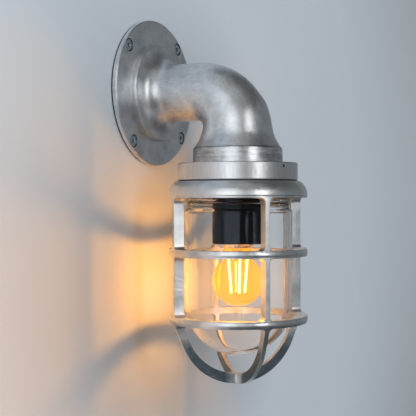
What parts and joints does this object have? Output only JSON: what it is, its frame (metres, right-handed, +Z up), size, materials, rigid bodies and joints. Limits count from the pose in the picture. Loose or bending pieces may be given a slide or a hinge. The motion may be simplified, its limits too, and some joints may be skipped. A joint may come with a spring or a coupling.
{
  "type": "bulkhead wall light",
  "caption": "Caged bulkhead wall light: cast elbow on a round wall flange, clear glass jar, cast guard with ribs and rings, black lampholder and a lit filament golf-ball lamp.",
  "frame": {"origin": "centre of the wall gasket's back face, on the wall plane", "axes": "+Y points into the wall, +Z is up, and the lamp axis hangs at -Y; +X is to the right seen from the front"},
  "size_m": [0.131, 0.1555, 0.322],
  "materials": {
    "cast_aluminium": "sand-cast aluminium, tumbled satin",
    "turned_aluminium": "fine-turned aluminium",
    "guard_aluminium": "die-cast aluminium, matte blasted",
    "zinc_steel": "bright zinc-plated steel",
    "black_rubber": "matte black rubber",
    "clear_glass": "clear pressed glass, glossy",
    "lamp_glass": "clear thin glass, glossy",
    "stem_glass": "clear glass, glossy",
    "black_phenolic": "glossy black moulded phenolic",
    "white_ceramic": "glazed cream insulating ceramic",
    "brass": "plain brass",
    "nickel_cap": "thin nickel-plated sheet",
    "black_insulator": "glossy black glass button",
    "filament_yellow": "yellow-coated, glowing",
    "block_white": "natural white polyamide",
    "lead_brown": "brown insulation",
    "lead_blue": "blue insulation",
    "lead_green": "green and yellow insulation"
  },
  "bodies": {
    "base": {"wall_gasket": "black_rubber", "elbow_casting": "cast_aluminium", "wall_screws": "zinc_steel", "lamp_head": "turned_aluminium", "lock_screw": "zinc_steel", "lampholder_cap": "black_phenolic", "lampholder_skirt": "black_phenolic", "lampholder_core": "white_ceramic", "screw_shell": "brass", "centre_contact": "brass", "holder_terminals": "brass", "holder_screws": "brass", "threaded_nipple": "zinc_steel", "nipple_washer": "zinc_steel", "nipple_nut": "zinc_steel", "terminal_block": "block_white", "block_screws": "brass", "live_lead": "lead_brown", "neutral_lead": "lead_blue", "earth_lead": "lead_green", "earth_tag": "brass", "earth_screw": "brass"},
    "lamp": {"lamp_envelope": "lamp_glass", "lamp_cap": "nickel_cap", "lamp_insulator": "black_insulator", "lamp_tip": "nickel_cap", "lamp_stem": "stem_glass", "lamp_filaments": "filament_yellow", "filament_wires": "nickel_cap"},
    "glass_seal": {"glass_seal": "black_rubber"},
    "glass_jar": {"glass_jar": "clear_glass"},
    "guard_seal": {"guard_seal": "black_rubber"},
    "guard": {"guard": "guard_aluminium"}
  },
  "joints": [
    {"name": "lamp_release", "type": "slide", "parent": "base", "child": "lamp", "axis": [0, 0, -1], "range_m": [0, 0.03]},
    {"name": "glass_release", "type": "slide", "parent": "base", "child": "glass_seal", "axis": [0, 0, -1], "range_m": [0, 0.13]},
    {"name": "glass_turn", "type": "hinge", "parent": "glass_seal", "child": "glass_jar", "pos_m": [0, -0.088, 0], "axis": [0, 0, -1], "range_deg": [0, 900]},
    {"name": "guard_release", "type": "slide", "parent": "glass_seal", "child": "guard_seal", "axis": [0, 0, -1], "range_m": [0, 0.158]},
    {"name": "guard_turn", "type": "hinge", "parent": "guard_seal", "child": "guard", "pos_m": [0, -0.088, 0], "axis": [0, 0, -1], "range_deg": [0, 900]}
  ]
}
